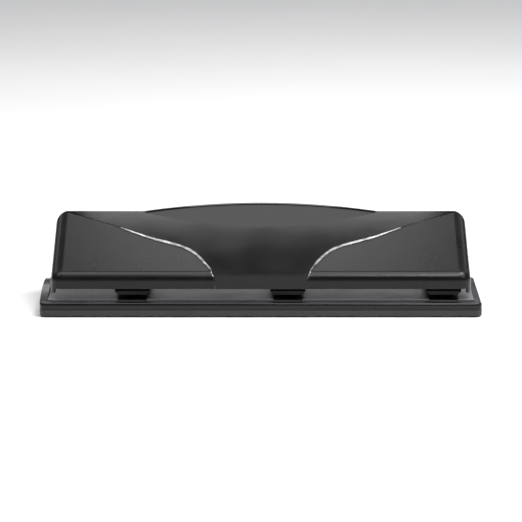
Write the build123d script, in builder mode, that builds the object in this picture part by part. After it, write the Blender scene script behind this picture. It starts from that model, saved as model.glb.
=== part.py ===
from build123d import *
import math
import os

# Three-hole desk punch for half-letter binder sheets. Millimetres, +Z up.
# Origin: centre of the base's footprint, on the surface that the feet stand on.
# +X runs along the row of punch heads, +Y from the sheet's entry edge to the palm end.

os.makedirs("parts", exist_ok=True)

# Sheet standard
hole_spacing = 69.85
hole_edge_distance = 11.0
sheet_width = 215.9
hole_diameter = 7.14

# Base and chip tray
base_width = 198.12
base_depth = 64.0
base_corner = 3.0
rim_width = 3.31
rim_top = 6.6
stop_crown = 9.7
rail_round = 1.2
tray_bottom = 0.5
tray_top = 3.3
tray_wall = 1.5
tray_floor = 1.0
tray_gap = 0.2
ledge_width = 4.5
end_ledge = 1.8
groove_depth = 1.8
groove_width = 1.6

# Table plate
table_top = 7.3
table_thickness = 1.0
table_setback = 5.0
table_gap = 0.2
mark_depth = 0.15
mark_margin = 10.0
mark_band = 5
mark_lead = 3.0
wide_mark = 0.6
fine_mark = 0.4

# Punch heads
throat_height = 2.2
jaw_wall = 2.68
cheek = 1.6
clip_room = 0.6
seat_thickness = 1.8
head_top = 17.0
column_depth = 10.0
die_wall = 1.6
ear_reach = 5.0
ear_depth = 7.0
guide_height = 4.7
guide_wall = 1.0
slide_fit = 0.05

# Pins and springs
pin_setback = 24.0
pin_tip_lift = 0.3
pin_chamfer = 0.8
tip_scoop = 6.0
tip_scoop_depth = 1.1
clip_thickness = 0.8
clip_drop = 1.2
clip_reach = 2.03
clip_groove = 0.65
clip_mouth = 1.5
wire_diameter = 0.8
coil_turns = 4.5
coil_clearance = 0.45

# Handle pivot and press
pivot_z = 14.8
rod_radius = 2.0
rod_groove = 0.5
rod_clip_reach = 1.1
rod_clip_width = 0.6
rod_clip_gap = 0.15
rod_tail = 0.4
boss_wall = 1.6
boss_front_room = 0.6
boss_top_room = 0.46
press_angle = 18.0
press_gap = 0.3

# Handle shell
handle_side_gap = 1.35
handle_setback = 4.0
heel_setback = 1.5
handle_slope = 20.0
shell_wall = 1.8
brow_radius = 4.5
sharp_brow = 0.4
heel_radius = 4.0
shoulder_radius = 5.5
lip_bottom = 12.2
cheek_bottom = 10.0
skirt_spare = 0.6
palm_rise = 3.87
palm_radius = 370.0
palm_slope = 33.9
palm_share = 0.62
palm_toe = 28.5
seam = 0.3
panel_proud = 0.3
trim_proud = 0.25
trim_rise = 5.0
trim_inner_share = 0.233
trim_outer_share = 0.68
trim_rear = 19.5

# Lever plate
lever_thickness = 1.2
ear_gap = 0.3
lever_margin = 5.4
lever_rear_room = 3.0
flange_drop = 6.0
rib_radius = 1.5
rib_sink = 0.43
stake_radius = 1.5
stake_head = 2.6
stake_length = 8.0
stake_head_thickness = 0.8
stake_room = 5.5

# Small parts
hinge_radius = 1.4
hinge_pin_radius = 0.6
knuckle_gap = 0.3
foot_radius = 4.5
foot_thickness = 1.1
foot_inset = 12.0
rivet_radius = 1.5
rivet_head = 2.6
rivet_dome = 0.9
screw_radius = 1.2
screw_head = 2.3
screw_head_height = 1.3
screw_slot = 0.6
screw_inset = 2.6
head_round = 0.6

# Derived places
half_width = base_width / 2
half_depth = base_depth / 2
stop_x = -half_width + rim_width
middle_x = stop_x + sheet_width / 2
head_xs = [middle_x - hole_spacing, middle_x, middle_x + hole_spacing]
head_names = ["left", "middle", "right"]
handle_front = -half_depth + handle_setback
handle_heel = half_depth - heel_setback
handle_half = half_width - rim_width - handle_side_gap
boss_radius = rod_radius + boss_wall
pivot_y = handle_front + shell_wall + boss_front_room + boss_radius
pin_y = -half_depth + pin_setback
base_bottom = tray_top + tray_gap
table_bottom = table_top - table_thickness
table_front = -half_depth + table_setback
table_rear = half_depth - rim_width - table_gap
throat_top = table_top + throat_height
seat_z = throat_top + seat_thickness
stop_y = pin_y + hole_edge_distance
pin_radius = hole_diameter / 2
bore_radius = pin_radius + slide_fit
die_radius = bore_radius + die_wall
clip_radius = pin_radius + clip_reach
jaw_width = 2 * (pin_radius + jaw_wall)
head_width = 2 * (clip_radius + clip_room + cheek)
arm = pin_y - pivot_y
slope = math.radians(handle_slope)
# Distance of the shell's and the lever plate's faces from the pivot, square to the slope
inner_reach = boss_radius + boss_top_room
outer_reach = inner_reach + shell_wall
lever_reach = inner_reach - lever_thickness
# Height of the wing plane where its heel starts to round off, and the crowns that follow
plane_y = handle_heel - heel_radius
plane_z = pivot_z + outer_reach / math.cos(slope) + (plane_y - pivot_y) * math.tan(slope)
wing_crown = plane_z + heel_radius - heel_radius / math.cos(slope)
palm_crown = wing_crown + palm_rise
rib_height = (lever_reach + rib_sink) / math.cos(slope) + arm * math.tan(slope)
pin_top = pivot_z + rib_height - rib_radius - press_gap
pin_tip = throat_top + pin_tip_lift
pin_length = pin_top - pin_tip
stroke = arm * math.sin(math.radians(press_angle)) + rib_height * (
    1 - math.cos(math.radians(press_angle))
)
print("stroke", round(stroke, 4), "pin length", round(pin_length, 3), "palm crown", round(palm_crown, 3))
print("press ratio, metres per radian", round(stroke / math.radians(press_angle) / 1000, 7))


def plane_height(y):
    """Height of the wing plane at y."""
    return plane_z + (y - plane_y) * math.tan(slope)


def finish(piece, name):
    """Label a finished piece and write it as its own STEP file."""
    piece.label = name
    export_step(piece, f"parts/{name}.step")


# Base frame: moulded ring with a ledge for the table plate, the left rim raised as sheet stop
hinge_y = half_depth - hinge_radius - 0.2
hinge_z = tray_bottom + hinge_radius
knuckle_pitch = base_width / 11
knuckle_edges = [knuckle_pitch * place for place in (1, 3, 5)]
with BuildPart() as base_frame:
    with BuildSketch(Plane.XY.offset(base_bottom)):
        RectangleRounded(base_width, base_depth, base_corner)
    extrude(amount=rim_top - base_bottom)
    fillet(base_frame.faces().sort_by(Axis.Z)[-1].edges(), rail_round)
    # The raised, arched sheet stop along the left rim
    with BuildSketch(Plane.YZ.offset(-half_width)):
        with BuildLine():
            arch_ends = half_depth - base_corner
            Polyline(
                (-arch_ends, rim_top),
                (-arch_ends, base_bottom),
                (arch_ends, base_bottom),
                (arch_ends, rim_top),
            )
            ThreePointArc((-arch_ends, rim_top), (-base_corner, stop_crown), (arch_ends, rim_top))
        make_face()
    extrude(amount=rim_width)
    # Well for the table plate, then the open middle over the chip tray
    with BuildSketch(Plane.XY.offset(table_bottom)):
        Rectangle(base_width - 2 * rim_width, base_depth - 2 * rim_width)
    extrude(amount=stop_crown, mode=Mode.SUBTRACT)
    with BuildSketch(Plane.XY.offset(base_bottom)):
        Rectangle(
            base_width - 2 * (rim_width + end_ledge),
            base_depth - 2 * (rim_width + ledge_width),
        )
    extrude(amount=rim_top, mode=Mode.SUBTRACT)
    # Shadow groove in front of the table's edge
    with BuildSketch(Plane.XY.offset(table_bottom - groove_depth)):
        with Locations((0, table_front - groove_width / 2 + 0.4)):
            Rectangle(base_width - 2 * rim_width, groove_width)
    extrude(amount=rim_top, mode=Mode.SUBTRACT)
    # Seats for the heads' lower jaws
    with BuildSketch(Plane.XY.offset(base_bottom + tray_floor)):
        with Locations(*[(x, -half_depth + rim_width + ledge_width / 2) for x in head_xs]):
            Rectangle(jaw_width + 2 * table_gap, ledge_width + 0.1)
    extrude(amount=rim_top, mode=Mode.SUBTRACT)
    # Fine groove along the crown of the sheet stop
    with BuildSketch(Plane.XY.offset(rim_top - 0.6)):
        with Locations((-half_width + rim_width / 2, 0)):
            Rectangle(0.4, base_depth - 4 * base_corner)
    extrude(amount=0.6, mode=Mode.SUBTRACT)
    # Hinge knuckles under the rear rim
    with BuildSketch(Plane.YZ.offset(-knuckle_edges[0] + knuckle_gap / 2)):
        with Locations((hinge_y, hinge_z)):
            Circle(hinge_radius)
        with Locations((hinge_y, (hinge_z + base_bottom) / 2)):
            Rectangle(2 * hinge_radius, base_bottom - hinge_z)
    extrude(amount=2 * knuckle_edges[0] - knuckle_gap)
    for side in (-1, 1):
        start = min(side * knuckle_edges[1], side * knuckle_edges[2]) + knuckle_gap / 2
        with BuildSketch(Plane.YZ.offset(start)):
            with Locations((hinge_y, hinge_z)):
                Circle(hinge_radius)
            with Locations((hinge_y, (hinge_z + base_bottom) / 2)):
                Rectangle(2 * hinge_radius, base_bottom - hinge_z)
        extrude(amount=knuckle_edges[2] - knuckle_edges[1] - knuckle_gap)
    with BuildSketch(Plane.YZ.offset(-half_width)):
        with Locations((hinge_y, hinge_z)):
            Circle(hinge_pin_radius)
    extrude(amount=base_width, mode=Mode.SUBTRACT)
    # Screw bores in the rear ledge
    screw_xs = [-0.88 * handle_half, -0.32 * handle_half, 0.46 * handle_half, 0.95 * handle_half]
    screw_y = table_rear - screw_inset
    with Locations(*[(x, screw_y, table_bottom) for x in screw_xs]):
        Cylinder(screw_radius, rim_top, mode=Mode.SUBTRACT)
finish(base_frame.part, "base_frame")

# Chip tray: shallow pan under the whole base, hinged along the rear edge
tray_rear = hinge_y - hinge_radius - 0.2
tray_front = -half_depth
with BuildPart() as chip_tray:
    with BuildSketch(Plane.XY.offset(tray_bottom)):
        with Locations((0, (tray_front + tray_rear) / 2)):
            RectangleRounded(base_width, tray_rear - tray_front, base_corner)
    extrude(amount=tray_top - tray_bottom)
    fillet(chip_tray.faces().sort_by(Axis.Z)[0].edges(), 0.5)
    with BuildSketch(Plane.XY.offset(tray_bottom + tray_floor)):
        with Locations((0, (tray_front + tray_rear) / 2)):
            RectangleRounded(
                base_width - 2 * tray_wall, tray_rear - tray_front - 2 * tray_wall, base_corner - tray_wall
            )
    extrude(amount=tray_top, mode=Mode.SUBTRACT)
    # Locating tongues that rise inside the front wall of the base
    with BuildSketch(Plane.XY.offset(tray_bottom)):
        tongue_y = -half_depth + rim_width + ledge_width + 1.1
        with Locations(*[(x + hole_spacing / 2, tongue_y) for x in head_xs[:2]]):
            Rectangle(14.0, 1.2)
    extrude(amount=tray_top + 1.6 - tray_bottom)
    # Pads that back the feet
    foot_x = half_width - foot_inset
    foot_ys = (tray_front + foot_inset, tray_rear - foot_inset)
    foot_places = [(sx * foot_x, y) for sx in (-1, 1) for y in foot_ys]
    with BuildSketch(Plane.XY.offset(tray_bottom)):
        with Locations(*foot_places):
            Circle(foot_radius + 1.0)
    extrude(amount=tray_floor + 0.6)
    with BuildSketch(Plane.XY.offset(tray_bottom)):
        with Locations(*foot_places):
            Circle(foot_radius)
    extrude(amount=foot_thickness - tray_bottom, mode=Mode.SUBTRACT)
    # Hinge knuckles between those of the base
    for side in (-1, 1):
        start = min(side * knuckle_edges[0], side * knuckle_edges[1]) + knuckle_gap / 2
        with BuildSketch(Plane.YZ.offset(start)):
            with Locations((hinge_y, hinge_z)):
                Circle(hinge_radius)
            with Locations(((hinge_y + tray_rear) / 2 - 0.2, hinge_z)):
                Rectangle(hinge_y - tray_rear + 0.4, 2 * hinge_radius)
        extrude(amount=knuckle_edges[1] - knuckle_edges[0] - knuckle_gap)
    with BuildSketch(Plane.YZ.offset(-half_width)):
        with Locations((hinge_y, hinge_z)):
            Circle(hinge_pin_radius + slide_fit)
    extrude(amount=base_width, mode=Mode.SUBTRACT)
finish(chip_tray.part, "chip_tray")

# Steel wire that the tray hinges on
with BuildPart() as tray_hinge_pin:
    with BuildSketch(Plane.YZ.offset(-knuckle_edges[2])):
        with Locations((hinge_y, hinge_z)):
            Circle(hinge_pin_radius)
    extrude(amount=2 * knuckle_edges[2])
finish(tray_hinge_pin.part, "tray_hinge_pin")

# Rubber feet, one node of four discs
with BuildPart() as rubber_feet:
    with BuildSketch(Plane.XY):
        with Locations(*foot_places):
            Circle(foot_radius)
    extrude(amount=foot_thickness)
    fillet(rubber_feet.faces().group_by(Axis.Z)[0].edges(), 0.3)
finish(rubber_feet.part, "rubber_feet")

# Table plate: pressed steel sheet, notched round the three heads
column_rear = stop_y + column_depth
rivet_y = stop_y + column_depth / 2
rivet_offset = jaw_width / 2 + ear_reach / 2 + 0.2
mark_places = [head_xs[0] - 24.0, head_xs[2] - 16.0]
with BuildPart() as table_plate:
    table_left = stop_x + table_gap
    table_right = half_width - rim_width - table_gap
    with BuildSketch(Plane.XY.offset(table_bottom)):
        with Locations(((table_left + table_right) / 2, (table_front + table_rear) / 2)):
            Rectangle(table_right - table_left, table_rear - table_front)
    extrude(amount=table_thickness)
    fillet(table_plate.faces().sort_by(Axis.Z)[-1].edges().sort_by(Axis.Y)[0], 0.4)
    with BuildSketch(Plane.XY.offset(table_bottom)):
        notch_rear = column_rear + table_gap
        with Locations(*[(x, (table_front - 1 + notch_rear) / 2) for x in head_xs]):
            Rectangle(jaw_width + 2 * table_gap, notch_rear - table_front + 1)
    extrude(amount=table_thickness, mode=Mode.SUBTRACT)
    # Stamped guide marks on the sheet's path
    with BuildSketch(Plane.XY.offset(table_top - mark_depth)):
        for x in mark_places:
            with Locations((x, 0)):
                Rectangle(wide_mark, base_depth - 2 * mark_margin)
            with Locations(*[(x + mark_lead + i, 0) for i in range(mark_band)]):
                Rectangle(fine_mark, base_depth - 2 * mark_margin)
    extrude(amount=mark_depth, mode=Mode.SUBTRACT)
    with Locations(*[(x, screw_y, table_top) for x in screw_xs]):
        Cylinder(screw_radius, 4 * table_thickness, mode=Mode.SUBTRACT)
    rivet_places = [(x + side * rivet_offset, rivet_y) for x in head_xs for side in (-1, 1)]
    with Locations(*[(x, y, table_top) for x, y in rivet_places]):
        Cylinder(rivet_radius, 4 * table_thickness, mode=Mode.SUBTRACT)
finish(table_plate.part, "table_plate")

# Pan-head screws that hold the table plate to the rear ledge
with BuildPart() as table_screws:
    with BuildSketch(Plane.XY.offset(table_top)):
        with Locations(*[(x, screw_y) for x in screw_xs]):
            Circle(screw_head)
    extrude(amount=screw_head_height)
    fillet(table_screws.faces().group_by(Axis.Z)[-1].edges(), head_round)
    with BuildSketch(Plane.XY.offset(base_bottom + 0.4)):
        with Locations(*[(x, screw_y) for x in screw_xs]):
            Circle(screw_radius)
    extrude(amount=table_top - base_bottom - 0.4)
    with BuildSketch(Plane.XY.offset(table_top + screw_head_height - screw_slot)):
        with Locations(*[(x, screw_y) for x in screw_xs]):
            Rectangle(4 * screw_slot, screw_slot)
            Rectangle(screw_slot, 4 * screw_slot)
    extrude(amount=screw_slot, mode=Mode.SUBTRACT)
finish(table_screws.part, "table_screws")

# Rivets through each head's feet and the table plate
rivet_foot = table_bottom - 1.2
with BuildPart() as head_rivets:
    with BuildSketch(Plane.XY.offset(rivet_foot)):
        with Locations(*rivet_places):
            Circle(rivet_radius)
    extrude(amount=table_top - rivet_foot)
    for z, up in ((table_top, 1), (rivet_foot, -1)):
        with BuildSketch(Plane.XY.offset(z)):
            with Locations(*rivet_places):
                Circle(rivet_head)
        extrude(amount=up * rivet_dome)
    fillet(head_rivets.faces().group_by(Axis.Z)[-1].edges(), head_round)
    fillet(head_rivets.faces().group_by(Axis.Z)[0].edges(), head_round)
finish(head_rivets.part, "head_rivets")


def build_head(x):
    """Die-cast C-frame: lower jaw, column, upper jaw with guide sleeve, cheeks and pivot boss."""
    with BuildPart() as head:
        # Side outline of the whole C-frame, with the sheet's throat cut from the front
        with BuildSketch(Plane.YZ.offset(x - head_width / 2)):
            with Locations((pivot_y, pivot_z)):
                Circle(boss_radius)
            with BuildLine():
                chin = handle_front + 0.6
                Polyline(
                    (chin, throat_top),
                    (column_rear, throat_top),
                    (column_rear, head_top),
                    (pivot_y, head_top),
                    (pivot_y - boss_radius + 0.1, pivot_z),
                    (pivot_y - boss_radius + 0.1, lip_bottom - 0.4),
                    (chin, lip_bottom - 1.0),
                    close=True,
                )
            make_face()
        extrude(amount=head_width)
        # Slanted undersides of the upper jaw
        jaw_sides = head.faces().sort_by(Axis.Z)[0].edges().filter_by(Axis.Y)
        chamfer(jaw_sides, (head_width - jaw_width) / 2)
        rear_edges = head.edges().filter_by(Axis.X).group_by(Axis.Z)[-1].sort_by(Axis.Y)[-1]
        fillet(rear_edges, 2.0)
        # Spring pocket between the cheeks
        with BuildSketch(Plane.XY.offset(seat_z)):
            with Locations((x, pin_y)):
                Rectangle(head_width - 2 * cheek, 2 * (clip_radius + clip_room))
        extrude(amount=head_top, mode=Mode.SUBTRACT)
        # Lower jaw and the feet under the table plate
        with BuildSketch(Plane.XY.offset(base_bottom + tray_floor)):
            jaw_front = -half_depth + rim_width + 0.2
            with Locations((x, (jaw_front + column_rear) / 2)):
                Rectangle(jaw_width, column_rear - jaw_front)
        extrude(amount=table_top - base_bottom - tray_floor)
        nose = head.edges().filter_by(Axis.X).group_by(Axis.Y)[0].sort_by(Axis.Z)[-1]
        fillet(nose, 1.4)
        with BuildSketch(Plane.XY.offset(rivet_foot)):
            with Locations((x, rivet_y)):
                Rectangle(jaw_width + 2 * ear_reach, ear_depth)
        extrude(amount=table_bottom - rivet_foot)
        # Column behind the sheet's edge
        with BuildSketch(Plane.XY.offset(table_top)):
            with Locations((x, (stop_y + column_rear) / 2)):
                Rectangle(jaw_width, column_depth)
        extrude(amount=throat_height)
        # Guide sleeve, pin bore, die seat, pivot bore and rivet holes
        with BuildSketch(Plane.XY.offset(throat_top)):
            with Locations((x, pin_y)):
                Circle(bore_radius + guide_wall)
        extrude(amount=guide_height)
        with BuildSketch(Plane.XY.offset(throat_top)):
            with Locations((x, pin_y)):
                Circle(bore_radius)
        extrude(amount=head_top, mode=Mode.SUBTRACT)
        with BuildSketch(Plane.XY):
            with Locations((x, pin_y)):
                Circle(die_radius)
        extrude(amount=table_top, mode=Mode.SUBTRACT)
        with BuildSketch(Plane.YZ.offset(x - head_width)):
            with Locations((pivot_y, pivot_z)):
                Circle(rod_radius)
        extrude(amount=2 * head_width, mode=Mode.SUBTRACT)
        with BuildSketch(Plane.XY):
            with Locations((x - rivet_offset, rivet_y), (x + rivet_offset, rivet_y)):
                Circle(rivet_radius)
        extrude(amount=table_bottom, mode=Mode.SUBTRACT)
    return head.part


clip_z = pin_top - clip_drop - clip_thickness
groove_radius = pin_radius - clip_groove
coil_radius = bore_radius + guide_wall + coil_clearance + wire_diameter / 2
for head_name, x in zip(head_names, head_xs):
    finish(build_head(x), f"punch_head_{head_name}")

    # Hardened steel die pressed into the lower jaw
    with BuildPart() as die:
        with BuildSketch(Plane.XY.offset(base_bottom + tray_floor)):
            with Locations((x, pin_y)):
                Circle(die_radius)
                Circle(bore_radius, mode=Mode.SUBTRACT)
        extrude(amount=table_top - base_bottom - tray_floor)
    finish(die.part, f"die_{head_name}")

    # Ground steel pin with a scooped cutting tip and a clip groove
    with BuildPart() as punch_pin:
        with BuildSketch(Plane.XY.offset(pin_tip)):
            with Locations((x, pin_y)):
                Circle(pin_radius)
        extrude(amount=pin_length)
        chamfer(punch_pin.faces().sort_by(Axis.Z)[-1].edges(), pin_chamfer)
        with BuildSketch(Plane.XY.offset(clip_z)):
            with Locations((x, pin_y)):
                Circle(pin_radius + 1)
                Circle(groove_radius, mode=Mode.SUBTRACT)
        extrude(amount=clip_thickness, mode=Mode.SUBTRACT)
        with BuildSketch(Plane.YZ.offset(x - pin_radius)):
            with Locations((pin_y, pin_tip + tip_scoop_depth - tip_scoop)):
                Circle(tip_scoop)
        extrude(amount=2 * pin_radius, mode=Mode.SUBTRACT)
    finish(punch_pin.part, f"punch_pin_{head_name}")

    # Snap ring in the pin's groove, which the spring pushes on
    with BuildPart() as pin_clip:
        with BuildSketch(Plane.XY.offset(clip_z)):
            with Locations((x, pin_y)):
                Circle(clip_radius)
                Circle(groove_radius, mode=Mode.SUBTRACT)
            with Locations((x, pin_y + clip_radius)):
                Rectangle(clip_mouth * groove_radius, 2 * clip_radius, mode=Mode.SUBTRACT)
        extrude(amount=clip_thickness)
    finish(pin_clip.part, f"pin_clip_{head_name}")

    # Return spring round the guide sleeve
    coil_length = clip_z - seat_z - wire_diameter
    with BuildPart() as return_spring:
        coil_pitch = coil_length / coil_turns
        coil_base = (x, pin_y, seat_z + wire_diameter / 2)
        with BuildLine() as coil:
            Helix(coil_pitch, coil_length, coil_radius, center=coil_base)
        with BuildSketch(Plane(coil.line @ 0, z_dir=coil.line % 0)):
            Circle(wire_diameter / 2 - 0.02)
        sweep()
    finish(return_spring.part, f"return_spring_{head_name}")

# Pivot rod through the heads' bosses and the lever's ears
ear_offset = head_width / 2 + ear_gap
ear_starts = []
for x in head_xs:
    ear_starts.append(x - ear_offset - lever_thickness)
    ear_starts.append(x + ear_offset)
ear_starts.pop()
left_clip_x = ear_starts[0] - rod_clip_gap - rod_clip_width
right_clip_x = head_xs[2] + head_width / 2 + rod_clip_gap
rod_start = left_clip_x - rod_tail
rod_end = right_clip_x + rod_clip_width + rod_tail
with BuildPart() as pivot_rod:
    with BuildSketch(Plane.YZ.offset(rod_start)):
        with Locations((pivot_y, pivot_z)):
            Circle(rod_radius)
    extrude(amount=rod_end - rod_start)
    for clip_x in (left_clip_x, right_clip_x):
        with BuildSketch(Plane.YZ.offset(clip_x)):
            with Locations((pivot_y, pivot_z)):
                Circle(rod_radius + 1)
                Circle(rod_radius - rod_groove, mode=Mode.SUBTRACT)
        extrude(amount=rod_clip_width, mode=Mode.SUBTRACT)
finish(pivot_rod.part, "pivot_rod")

with BuildPart() as rod_clips:
    for clip_x in (left_clip_x, right_clip_x):
        with BuildSketch(Plane.YZ.offset(clip_x)):
            with Locations((pivot_y, pivot_z)):
                Circle(rod_radius + rod_clip_reach)
                Circle(rod_radius - rod_groove, mode=Mode.SUBTRACT)
            with Locations((pivot_y, pivot_z + rod_radius + rod_clip_reach)):
                Rectangle(rod_radius, 2 * (rod_radius + rod_clip_reach), mode=Mode.SUBTRACT)
        extrude(amount=rod_clip_width)
finish(rod_clips.part, "rod_clips")


def handle_block(inset, front, brow):
    """Handle's outer form drawn in by inset: sloped wedge with rounded ends and a crowned palm rise."""
    end_x = handle_half - inset
    front_y = front + inset
    heel_y = handle_heel - inset
    drop = inset / math.cos(slope)
    with BuildPart() as block:
        with BuildSketch(Plane.YZ.offset(-end_x)):
            with BuildLine():
                Polyline(
                    (front_y, 0),
                    (front_y, plane_height(front_y) - drop),
                    (heel_y, plane_height(heel_y) - drop),
                    (heel_y, 0),
                    close=True,
                )
            make_face()
        extrude(amount=2 * end_x)
        crosswise = block.edges().filter_by(Axis.X)
        fillet(crosswise.group_by(Axis.Z)[-1], heel_radius - inset)
        front_edge = block.edges().filter_by(Axis.X).group_by(Axis.Y)[0].sort_by(Axis.Z)[-1]
        fillet(front_edge, max(brow - inset, 0.3))
        for end in (Axis.X, -Axis.X):
            rim = block.faces().sort_by(end)[-1].edges()
            upper = [edge for edge in rim if edge.bounding_box().max.Z > 1.0]
            fillet(upper, shoulder_radius - inset)
        # Palm rise: its centre section turned about a low axis along Y, which crowns it sideways
        axis_z = palm_crown - palm_radius
        turn = math.degrees(math.asin(palm_share * handle_half / palm_radius))
        lean = math.radians(-turn)
        section_plane = Plane(
            origin=(0, 0, axis_z), x_dir=(0, 1, 0), z_dir=(math.cos(lean), 0, -math.sin(lean))
        )
        palm_tan = math.tan(math.radians(palm_slope))
        palm_drop = inset / math.cos(math.radians(palm_slope))
        toe_y = handle_heel - palm_toe
        peak = palm_radius - heel_radius + heel_radius / math.cos(math.radians(palm_slope))
        foot = peak - palm_drop - (plane_y - toe_y) * palm_tan
        with BuildSketch(section_plane) as section:
            with BuildLine():
                Polyline(
                    (toe_y, foot),
                    (heel_y, peak - palm_drop + (heel_y - plane_y) * palm_tan),
                    (heel_y, foot),
                    close=True,
                )
            make_face()
            fillet(section.vertices().sort_by(Axis.Y)[-1], heel_radius - inset)
        revolve(axis=Axis((0, 0, axis_z), (0, 1, 0)), revolution_arc=2 * turn)
    return block.part


def skirt_cut():
    """Everything under the handle's lower edge, which rises from the lip to the heel."""
    skirt_start = pivot_y + rod_radius
    skirt_end = handle_heel + heel_radius
    run = skirt_end - skirt_start
    skirt_rise = run * math.tan(math.radians(press_angle + skirt_spare))
    with BuildPart() as cut:
        with BuildSketch(Plane.YZ.offset(-base_width)):
            with BuildLine():
                Polyline(
                    (-base_depth, -1),
                    (-base_depth, cheek_bottom),
                    (skirt_start, cheek_bottom),
                    (skirt_end, cheek_bottom + skirt_rise),
                    (skirt_end, -1),
                    close=True,
                )
            make_face()
        extrude(amount=2 * base_width)
        with BuildSketch(Plane.XY):
            with Locations((0, handle_front)):
                Rectangle(2 * (handle_half - shell_wall), 4 * shell_wall)
        extrude(amount=lip_bottom)
    return cut.part


# Seam lines, drawn on a plane that leans 45 degrees so that one outline crosses both the
# sloped top and the upright lip. Heights on that plane are (y + z) / sqrt(2). Each place is a
# share of the handle's half width and a share of the rise from the lip's foot to the heel.
seam_plane = Plane(origin=(0, 0, 0), x_dir=(1, 0, 0), z_dir=(0, -1, 1))
seam_foot = (handle_front + lip_bottom) / math.sqrt(2)
seam_rise = (handle_heel + wing_crown) / math.sqrt(2) - seam_foot
centre_shares = [(0.969, 0.958), (0.674, 0.711), (0.523, 0.575), (0.336, 0.414), (0.261, 0.233), (0.215, 0)]
wing_shares = [(0.973, 0.951), (0.674, 0.702), (0.522, 0.548), (0.335, 0.38), (0.26, 0.188), (0.218, 0)]


seam_start = (0.89, -0.46)
seam_end = (0.12, -0.99)


def seam_line(shares):
    """Places on the seam plane, left of the middle, from the heel's corner to the lip's foot."""
    return [(-across * handle_half, seam_foot + up * seam_rise) for across, up in shares]


def seam_zone(line, edge):
    """Everything between a seam line and the upright plane at x = edge, through the whole handle."""
    with BuildPart() as zone:
        with BuildSketch(seam_plane.offset(-base_depth)):
            with BuildLine():
                left = Spline(*line, tangents=[seam_start, seam_end])
                Polyline(
                    left @ 1,
                    (line[-1][0], -seam_rise),
                    (edge, -seam_rise),
                    (edge, 2 * seam_rise),
                    (line[0][0], 2 * seam_rise),
                    left @ 0,
                )
            make_face()
        extrude(amount=2 * base_depth)
    return zone.part


centre_zone = seam_zone(seam_line(centre_shares), 0)
wing_zone = seam_zone(seam_line(wing_shares), -half_width)

# Stakes that fasten the shells to the lever plate, square to the slope
lever_plane = Plane(
    origin=(0, pivot_y, pivot_z),
    x_dir=(1, 0, 0),
    z_dir=(0, -math.sin(slope), math.cos(slope)),
)
lever_front = boss_radius + ear_gap + head_round
lever_rear = (handle_heel - shell_wall - lever_rear_room - pivot_y) / math.cos(slope)
inner_stake = min(-head_xs[0], head_xs[2]) - head_width / 2 - ear_gap - lever_thickness - stake_room
centre_stakes = [(side * handle_half / 2.7, v * lever_rear) for side in (-1, 1) for v in (0.59, 0.83)]
wing_stakes = [(side * 0.78 * handle_half, lever_rear / 2) for side in (-1, 1)]
for side in (-1, 1):
    wing_stakes.append((side * inner_stake, 2 * lever_front))


# Whole solids that the mouldings are cut from
panel_front = handle_front - panel_proud
panel_outer = handle_block(0, panel_front, sharp_brow)
panel_inner = handle_block(shell_wall, panel_front, sharp_brow)
wing_outer = handle_block(0, handle_front, brow_radius)
wing_inner = handle_block(shell_wall, handle_front, brow_radius)
trim_outer = handle_block(-trim_proud, handle_front, brow_radius)
shell_middle = handle_block(shell_wall / 2, handle_front, brow_radius)
under_skirt = skirt_cut()


def stakes(places):
    """Staked pegs on the left half of the lever plate, with a flattened head under it."""
    left_places = [place for place in places if place[0] < 0]
    with BuildPart() as pegs:
        with BuildSketch(lever_plane.offset(lever_reach)):
            with Locations(*left_places):
                Circle(stake_radius)
        extrude(amount=stake_length)
        add(shell_middle, mode=Mode.INTERSECT)
        with BuildSketch(lever_plane.offset(lever_reach - stake_head_thickness)):
            with Locations(*left_places):
                Circle(stake_head)
        extrude(amount=stake_head_thickness)
    return pegs.part


centre_pegs = stakes(centre_stakes)
wing_pegs = stakes(wing_stakes)

# Centre panel: glossy moulding with the palm rise and the sharp brow, made as two mirrored halves
with BuildPart() as centre_panel:
    add(panel_outer)
    add(panel_inner, mode=Mode.SUBTRACT)
    add(under_skirt, mode=Mode.SUBTRACT)
    add(centre_zone, mode=Mode.INTERSECT)
    add(centre_pegs)
    mirror(about=Plane.YZ)
finish(centre_panel.part, "centre_panel")

# Wings: satin mouldings with the rounded brow, each with its end wall
with BuildPart() as wing_left:
    add(wing_outer)
    add(wing_inner, mode=Mode.SUBTRACT)
    add(under_skirt, mode=Mode.SUBTRACT)
    add(wing_zone, mode=Mode.INTERSECT)
    add(wing_pegs)
finish(wing_left.part, "wing_left")

with BuildPart() as wing_right:
    mirror(wing_left.part, about=Plane.YZ)
finish(wing_right.part, "wing_right")

# Trims: plated strips set into the widened part of the seams
trim_inner_x = trim_inner_share * handle_half
trim_outer_x = trim_outer_share * handle_half
trim_back = handle_heel - trim_rear
with BuildPart() as trim_left:
    add(trim_outer)
    add(wing_inner, mode=Mode.SUBTRACT)
    with BuildSketch(Plane.XY.offset(lip_bottom + trim_rise)):
        with Locations((-(trim_inner_x + trim_outer_x) / 2, (handle_front + seam + trim_back) / 2)):
            Rectangle(trim_outer_x - trim_inner_x, trim_back - handle_front - seam)
    extrude(amount=base_depth, mode=Mode.INTERSECT)
    add(centre_zone, mode=Mode.SUBTRACT)
    add(wing_zone, mode=Mode.SUBTRACT)
finish(trim_left.part, "trim_left")

with BuildPart() as trim_right:
    mirror(trim_left.part, about=Plane.YZ)
finish(trim_right.part, "trim_right")

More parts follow.
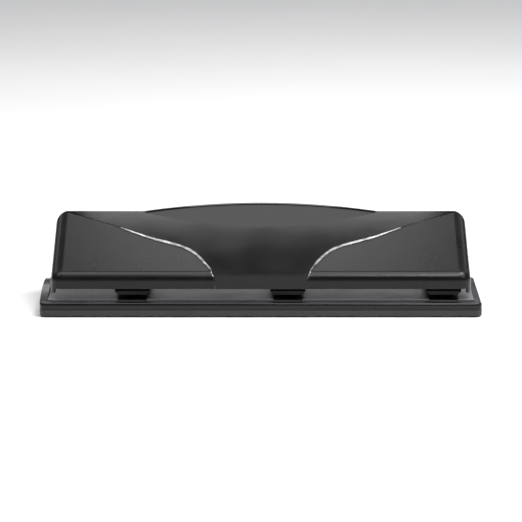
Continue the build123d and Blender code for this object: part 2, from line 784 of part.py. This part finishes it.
# Lever plate: pressed steel channel under the shells, with ears on the rod and a press rib
plate_half = handle_half - lever_margin
with BuildPart() as lever_plate:
    with BuildSketch(lever_plane.offset(lever_reach)):
        with Locations((0, (lever_front + lever_rear) / 2)):
            Rectangle(2 * plate_half, lever_rear - lever_front)
        with Locations(*(centre_stakes + wing_stakes)):
            Circle(stake_radius, mode=Mode.SUBTRACT)
    extrude(amount=lever_thickness)
    with BuildSketch(lever_plane.offset(lever_reach - flange_drop)):
        with Locations((0, lever_rear - lever_thickness / 2)):
            Rectangle(2 * plate_half, lever_thickness)
    extrude(amount=flange_drop)
    # Press rib over the pins, formed along the plate
    with BuildSketch(Plane.YZ.offset(-plate_half)):
        with Locations((pin_y, pivot_z + rib_height)):
            Circle(rib_radius)
    extrude(amount=2 * plate_half)
    with BuildSketch(lever_plane.offset(inner_reach)):
        with Locations((0, lever_rear / 2)):
            Rectangle(2 * base_width, 2 * base_depth)
    extrude(amount=base_depth, mode=Mode.SUBTRACT)
    # Ears on the pivot rod
    for start in ear_starts:
        with BuildSketch(Plane.YZ.offset(start)):
            with Locations((pivot_y, pivot_z)):
                Circle(boss_radius)
            with BuildLine():
                web_top = lever_reach + lever_thickness / 2
                rear = (pivot_y + arm * math.cos(slope), pivot_z + arm * math.sin(slope))
                Polyline(
                    (pivot_y, pivot_z - rod_radius - 2 * rod_groove),
                    (rear[0] - web_top * math.sin(slope), rear[1] + web_top * math.cos(slope)),
                    (
                        pivot_y + lever_front * math.cos(slope) - web_top * math.sin(slope),
                        pivot_z + lever_front * math.sin(slope) + web_top * math.cos(slope),
                    ),
                    (pivot_y - rod_radius / 2, pivot_z + rod_radius + lever_thickness),
                    close=True,
                )
            make_face()
            with Locations((pivot_y, pivot_z)):
                Circle(rod_radius + slide_fit, mode=Mode.SUBTRACT)
        extrude(amount=lever_thickness)
finish(lever_plate.part, "lever_plate")
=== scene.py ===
import math

import bmesh
import bpy
from mathutils import Matrix, Vector


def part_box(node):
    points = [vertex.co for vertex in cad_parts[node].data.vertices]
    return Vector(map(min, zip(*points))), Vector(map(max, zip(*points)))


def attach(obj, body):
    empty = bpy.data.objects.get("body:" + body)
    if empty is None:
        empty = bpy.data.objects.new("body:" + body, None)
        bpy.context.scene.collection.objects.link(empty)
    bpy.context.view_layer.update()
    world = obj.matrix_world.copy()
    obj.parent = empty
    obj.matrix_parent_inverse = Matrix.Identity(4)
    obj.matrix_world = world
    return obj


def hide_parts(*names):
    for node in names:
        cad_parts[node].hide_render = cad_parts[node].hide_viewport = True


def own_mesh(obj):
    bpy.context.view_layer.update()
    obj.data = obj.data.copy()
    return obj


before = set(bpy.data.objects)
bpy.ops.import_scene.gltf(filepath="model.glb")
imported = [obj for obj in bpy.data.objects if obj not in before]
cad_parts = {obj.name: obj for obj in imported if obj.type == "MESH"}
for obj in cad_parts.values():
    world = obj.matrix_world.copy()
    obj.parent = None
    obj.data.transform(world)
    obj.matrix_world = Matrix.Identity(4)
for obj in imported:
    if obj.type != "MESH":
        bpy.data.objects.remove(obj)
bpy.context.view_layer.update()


# Base frame: the black rim and front rail, with the arched sheet stop on its left.
# Moulded in glossy ABS; it carries the table plate on a ledge and the tray on knuckles.

def linear(hex_colour):
    """sRGB hex string to the linear RGBA that shaders take."""
    channels = [int(hex_colour[i:i + 2], 16) / 255 for i in (1, 3, 5)]
    return [c / 12.92 if c <= 0.04045 else ((c + 0.055) / 1.055) ** 2.4 for c in channels] + [1.0]


def add_node(material, kind, settings=None, links=None):
    """One shader node, with its settings by name and the sockets that feed its inputs."""
    node = material.node_tree.nodes.new(kind)
    for name, value in (settings or {}).items():
        if name in node.inputs:
            node.inputs[name].default_value = value
        else:
            setattr(node, name, value)
    for name, socket in (links or {}).items():
        material.node_tree.links.new(socket, node.inputs[name])
    return node


def new_surface(name, colour, rough, metallic=0.0, ior=1.5):
    """Material with an untouched Principled shader, and Object coordinates in metres."""
    material = bpy.data.materials.new(name)
    material.use_nodes = True
    shader = material.node_tree.nodes["Principled BSDF"]
    shader.inputs["Base Color"].default_value = linear(colour)
    shader.inputs["Roughness"].default_value = rough
    shader.inputs["Metallic"].default_value = metallic
    if metallic < 0.5:
        shader.inputs["IOR"].default_value = ior
    place = add_node(material, "ShaderNodeTexCoord").outputs["Object"]
    return material, shader, place


def mottle(material, shader, place, patch_mm, dark, light, rough):
    """Soft patches about patch_mm across, in which base colour and roughness drift between limits."""
    noise_low, noise_high = 0.3, 0.7
    patches = add_node(
        material, "ShaderNodeTexNoise", {"Scale": 1000 / patch_mm, "Detail": 3.0}, {"Vector": place}
    )
    ramp = add_node(material, "ShaderNodeValToRGB", links={"Fac": patches.outputs["Fac"]})
    ramp.color_ramp.elements[0].position = noise_low
    ramp.color_ramp.elements[1].position = noise_high
    ramp.color_ramp.elements[0].color = linear(dark)
    ramp.color_ramp.elements[1].color = linear(light)
    material.node_tree.links.new(ramp.outputs["Color"], shader.inputs["Base Color"])
    spread = add_node(
        material, "ShaderNodeMapRange",
        {"From Min": noise_low, "From Max": noise_high, "To Min": rough[0], "To Max": rough[1]},
        {"Value": patches.outputs["Fac"]},
    )
    material.node_tree.links.new(spread.outputs["Result"], shader.inputs["Roughness"])


def grain(material, shader, place, size_mm, depth_mm, stretch=(1, 1, 1)):
    """Noise relief of that size and depth, added to any relief that the surface has already."""
    mapping = add_node(material, "ShaderNodeMapping", {"Scale": stretch}, {"Vector": place})
    bumps = add_node(
        material, "ShaderNodeTexNoise", {"Scale": 1000 / size_mm, "Detail": 2.0},
        {"Vector": mapping.outputs["Vector"]},
    )
    relief = add_node(
        material, "ShaderNodeBump", {"Distance": depth_mm / 1000}, {"Height": bumps.outputs["Fac"]}
    )
    if shader.inputs["Normal"].is_linked:
        below = shader.inputs["Normal"].links[0].from_socket
        material.node_tree.links.new(below, relief.inputs["Normal"])
    material.node_tree.links.new(relief.outputs["Normal"], shader.inputs["Normal"])


def dress(node, material):
    """Gives a carried-over CAD node its finish."""
    for material_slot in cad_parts[node].material_slots:
        material_slot.material = material


# Polished-tool ABS: near black, a clear gloss with faint flow marks and handling haze
black_abs, shader, place = new_surface("black_abs_polished_moulding", "#08080a", 0.2, ior=1.4)
mottle(black_abs, shader, place, 12.0, "#070709", "#0c0c0e", (0.14, 0.24))
grain(black_abs, shader, place, 6.0, 0.012)
grain(black_abs, shader, place, 0.5, 0.002)
dress("base_frame", black_abs)


# Chip tray: the grey pan under the whole base, hinged along its rear edge.
# Moulded in charcoal ABS against a fine-textured tool, so it looks matt beside the rail.

# Spark-eroded ABS: an even, fine grain that scatters light and hides marks
tray_abs, shader, place = new_surface("charcoal_abs_spark_textured", "#2f2f30", 0.5)
mottle(tray_abs, shader, place, 9.0, "#2b2b2c", "#353536", (0.44, 0.56))
grain(tray_abs, shader, place, 0.35, 0.012)
dress("chip_tray", tray_abs)


# Rubber feet: four discs pressed into pockets under the tray.
# Moulded nitrile rubber, dull and slightly dusty.

# Moulded rubber: deep matt black with a powdery bloom
foot_rubber, shader, place = new_surface("nitrile_rubber_moulded", "#141414", 0.85)
mottle(foot_rubber, shader, place, 2.5, "#121212", "#1e1e1d", (0.75, 0.95))
grain(foot_rubber, shader, place, 0.4, 0.02)
dress("rubber_feet", foot_rubber)


# Table plate: the sheet rests on it and slides back to the heads.
# Pressed steel, sprayed in a mauve grey satin paint, with stamped guide marks.

# Satin stoving paint on steel: soft reflections with a light orange peel
table_paint, shader, place = new_surface("stoved_satin_paint_on_steel", "#6d676c", 0.36)
mottle(table_paint, shader, place, 12.0, "#68626a", "#736d71", (0.3, 0.42))
grain(table_paint, shader, place, 1.6, 0.012)
grain(table_paint, shader, place, 0.3, 0.003)
dress("table_plate", table_paint)


# Punch heads: three C-frames that hold the pins over the dies and carry the pivot rod.
# Zinc die-castings, sprayed black, riveted through the table plate.

# Sprayed enamel on a casting: black, half gloss, with a slightly lumpy cast skin
head_enamel, shader, place = new_surface("black_enamel_on_zinc_casting", "#060607", 0.45, ior=1.33)
mottle(head_enamel, shader, place, 4.0, "#040405", "#080809", (0.4, 0.55))
grain(head_enamel, shader, place, 1.2, 0.03)
for side in ("left", "middle", "right"):
    dress(f"punch_head_{side}", head_enamel)


# Pins, dies, pivot rod, rivets, screws and the tray's hinge wire.
# Turned or headed steel, ground where it slides, so fine lines run round or along it.

# Ground steel: bright, with fine grinding lines that stretch the highlight
ground_steel, shader, place = new_surface("ground_tool_steel", "#b9b9bb", 0.24, metallic=1.0)
mottle(ground_steel, shader, place, 4.0, "#a9a9ab", "#c6c6c8", (0.18, 0.32))
grain(ground_steel, shader, place, 0.25, 0.004, stretch=(0.15, 0.15, 1.0))
for side in ("left", "middle", "right"):
    dress(f"punch_pin_{side}", ground_steel)
    dress(f"die_{side}", ground_steel)
for node in ("pivot_rod", "tray_hinge_pin"):
    dress(node, ground_steel)

# Bright zinc on fasteners: paler and cloudier than the ground parts
zinc_plate, shader, place = new_surface("bright_zinc_plated_steel", "#c2c5c8", 0.3, metallic=1.0)
mottle(zinc_plate, shader, place, 2.5, "#b3b8be", "#ccccca", (0.22, 0.42))
grain(zinc_plate, shader, place, 0.5, 0.006)
for node in ("head_rivets", "table_screws"):
    dress(node, zinc_plate)


# Lever plate: the pressed steel channel under the shells that pushes the pins down.
# Stamped from zinc-coated strip, so its surface is spangled and its edges are sheared.

# Spangled zinc strip: patches of different grey with a rolled grain along it
zinc_strip, shader, place = new_surface("spangled_zinc_coated_strip", "#9aa0a5", 0.38, metallic=1.0)
mottle(zinc_strip, shader, place, 6.0, "#8c9298", "#a9adb0", (0.3, 0.44))
crystal_mm = 5.0
crystal_relief = 0.000008
spangle = add_node(zinc_strip, "ShaderNodeTexVoronoi", {"Scale": 1000 / crystal_mm}, {"Vector": place})
crystal_edges = add_node(
    zinc_strip, "ShaderNodeBump", {"Distance": crystal_relief}, {"Height": spangle.outputs["Distance"]}
)
zinc_strip.node_tree.links.new(crystal_edges.outputs["Normal"], shader.inputs["Normal"])
grain(zinc_strip, shader, place, 0.4, 0.006, stretch=(0.1, 1, 1))
dress("lever_plate", zinc_strip)


# Clips: snap rings on the pins and the rod.
# Blanked from spring strip and blued in tempering.

# Tempered spring steel: dark straw-to-blue oxide over metal
spring_steel, shader, place = new_surface("tempered_spring_steel", "#55565a", 0.32, metallic=1.0)
mottle(spring_steel, shader, place, 2.0, "#4a4c52", "#66625c", (0.25, 0.42))
grain(spring_steel, shader, place, 0.3, 0.003)
for side in ("left", "middle", "right"):
    dress(f"pin_clip_{side}", spring_steel)
dress("rod_clips", spring_steel)


# Return springs: one round each guide sleeve, between the head's seat and the pin's clip.
# Coiled from drawn wire with closed ends; they shorten as the pins go down.

wire_radius = 0.0004
coil_turns = 4.5
turn_steps = 28
ring_sides = 12
weld_reach = 1e-6


def weld(bm):
    """Merges doubled points, then turns every face outwards."""
    bmesh.ops.remove_doubles(bm, verts=bm.verts, dist=weld_reach)
    bmesh.ops.recalc_face_normals(bm, faces=bm.faces)


def make_piece(name, bm, material, body):
    """Turns a bmesh into a smooth-shaded object that rides on a body."""
    mesh = bpy.data.meshes.new(name)
    bm.to_mesh(mesh)
    bm.free()
    mesh.shade_smooth()
    piece = bpy.data.objects.new(name, mesh)
    bpy.context.scene.collection.objects.link(piece)
    mesh.materials.append(material)
    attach(piece, body)
    return piece


for side in ("left", "middle", "right"):
    low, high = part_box(f"return_spring_{side}")
    centre = (low + high) / 2
    coil_radius = (high.x - low.x) / 2 - wire_radius
    rise = high.z - low.z - 2 * wire_radius
    bm = bmesh.new()
    ring = bmesh.ops.create_circle(bm, segments=ring_sides, radius=wire_radius, cap_ends=False)["verts"]
    bmesh.ops.rotate(bm, verts=ring, cent=(0, 0, 0), matrix=Matrix.Rotation(math.pi / 2, 3, "X"))
    bmesh.ops.translate(bm, verts=ring, vec=(centre.x + coil_radius, centre.y, low.z + wire_radius))
    steps = int(turn_steps * coil_turns)
    bmesh.ops.spin(
        bm, geom=bm.edges[:], cent=(centre.x, centre.y, 0), axis=(0, 0, 1),
        dvec=(0, 0, rise / steps), angle=2 * math.pi * coil_turns, steps=steps, use_merge=False,
    )
    bmesh.ops.holes_fill(bm, edges=[e for e in bm.edges if e.is_boundary], sides=ring_sides)
    weld(bm)
    spring = make_piece(f"coil_{side}", bm, spring_steel, "base")
    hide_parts(f"return_spring_{side}")
    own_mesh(spring)


# Wings: the two satin shells with the rounded brow and the end walls.
# Moulded in black ABS against a finely textured tool.

# Fine-textured ABS: the highlight along the brow breaks into a soft, grainy band
satin_abs, shader, place = new_surface("black_abs_fine_texture", "#0a0a0c", 0.3, ior=1.4)
mottle(satin_abs, shader, place, 14.0, "#08080a", "#0b0b0d", (0.26, 0.33))
grain(satin_abs, shader, place, 0.45, 0.012)
for side in ("left", "right"):
    dress(f"wing_{side}", satin_abs)


# Centre panel: the high-gloss shell with the crowned palm rise and the crisp lip.
# Moulded in black ABS in a mirror-polished tool, staked to the lever plate.

# Mirror-polished ABS: deep black with clear reflections, faint waves and wiping haze
gloss_abs, shader, place = new_surface("black_abs_mirror_polished", "#070708", 0.1, ior=1.38)
mottle(gloss_abs, shader, place, 18.0, "#060607", "#09090a", (0.085, 0.115))
grain(gloss_abs, shader, place, 10.0, 0.008)
dress("centre_panel", gloss_abs)


# Trims: two tapered strips in the seams between the panel and the wings.
# Plastic mouldings with bright chromium plating, pressed in from the front.

# Decorative chromium: mirror bright, with a faint ripple from the moulding below
chromium, shader, place = new_surface("chromium_plated_moulding", "#e6e6e8", 0.1, metallic=1.0)
mottle(chromium, shader, place, 4.0, "#dcdcdf", "#f0f0f0", (0.06, 0.16))
grain(chromium, shader, place, 3.0, 0.006)
for side in ("left", "right"):
    dress(f"trim_{side}", chromium)


# Stage: a plain floor for the punch to stand on.
# Painted matt white, and far wider than the punch so that its edges stay out of sight.

floor_half = 3.0
bm = bmesh.new()
bmesh.ops.create_grid(bm, x_segments=1, y_segments=1, size=floor_half)
floor_mesh = bpy.data.meshes.new("floor")
bm.to_mesh(floor_mesh)
bm.free()
floor = bpy.data.objects.new("floor", floor_mesh)
bpy.context.scene.collection.objects.link(floor)
floor_paint, shader, place = new_surface("matt_white_floor", "#f2f2f2", 0.9)
mottle(floor_paint, shader, place, 300.0, "#f1f1f1", "#f4f4f4", (0.85, 0.95))
floor_mesh.materials.append(floor_paint)


# Lights: a wide soft box overhead, and a small card behind that puts a gradient on the gloss slope.
# A low box whitens the far floor, a strip picks out the brow, and a box on the right fills that end.

def soft_box(name, location, target, size, watts):
    """Rectangular area light at location, facing target; metres and watts."""
    light = bpy.data.lights.new(name, "AREA")
    light.shape = "RECTANGLE"
    light.size, light.size_y = size
    light.energy = watts
    lamp = bpy.data.objects.new(name, light)
    lamp.location = location
    lamp.rotation_euler = (Vector(target) - Vector(location)).to_track_quat("-Z", "Y").to_euler()
    bpy.context.scene.collection.objects.link(lamp)


soft_box("overhead_box", location=(0.0, -0.08, 1.5), target=(0, -0.08, 0), size=(3.0, 0.98), watts=27)
soft_box("rear_card", location=(0.0, 0.78, 0.69), target=(0, 0.03, 0.03), size=(0.26, 0.32), watts=0.9)
soft_box("backdrop_box", location=(0.0, 2.4, 0.9), target=(0, 1.0, 0), size=(3.0, 0.6), watts=7)
soft_box("brow_strip", location=(0.35, -0.2, 0.9), target=(0, 0, 0.02), size=(1.1, 0.14), watts=8)
soft_box("right_box", location=(1.0, -0.5, 0.9), target=(0, 0, 0.02), size=(0.5, 0.5), watts=3)

room_strength = 0.1
room = bpy.data.worlds.new("dim_room")
room.use_nodes = True
backdrop = room.node_tree.nodes["Background"]
backdrop.inputs["Color"].default_value = linear("#f2f5ff")
backdrop.inputs["Strength"].default_value = room_strength
bpy.context.scene.world = room
bpy.context.scene.view_settings.view_transform = "Standard"


# Camera: a long lens in front of the sheet's entry edge, looking slightly down.
# It aims at the middle of the punch, near half its height.

camera_distance = 1.6
camera_tilt = math.radians(10.5)
aim = Vector((0.0001, 0.0, 0.0198))
lens_mm = 242.3
sensor_mm = 36.0
farthest_seen = 20.0
towards_camera = Vector((0, -math.cos(camera_tilt), math.sin(camera_tilt)))
camera_data = bpy.data.cameras.new("camera")
camera_data.sensor_width = sensor_mm
camera_data.lens = lens_mm
camera_data.clip_end = farthest_seen
camera = bpy.data.objects.new("camera", camera_data)
camera.location = aim + camera_distance * towards_camera
camera.rotation_euler = (math.pi / 2 - camera_tilt, 0, 0)
bpy.context.scene.collection.objects.link(camera)
bpy.context.scene.camera = camera
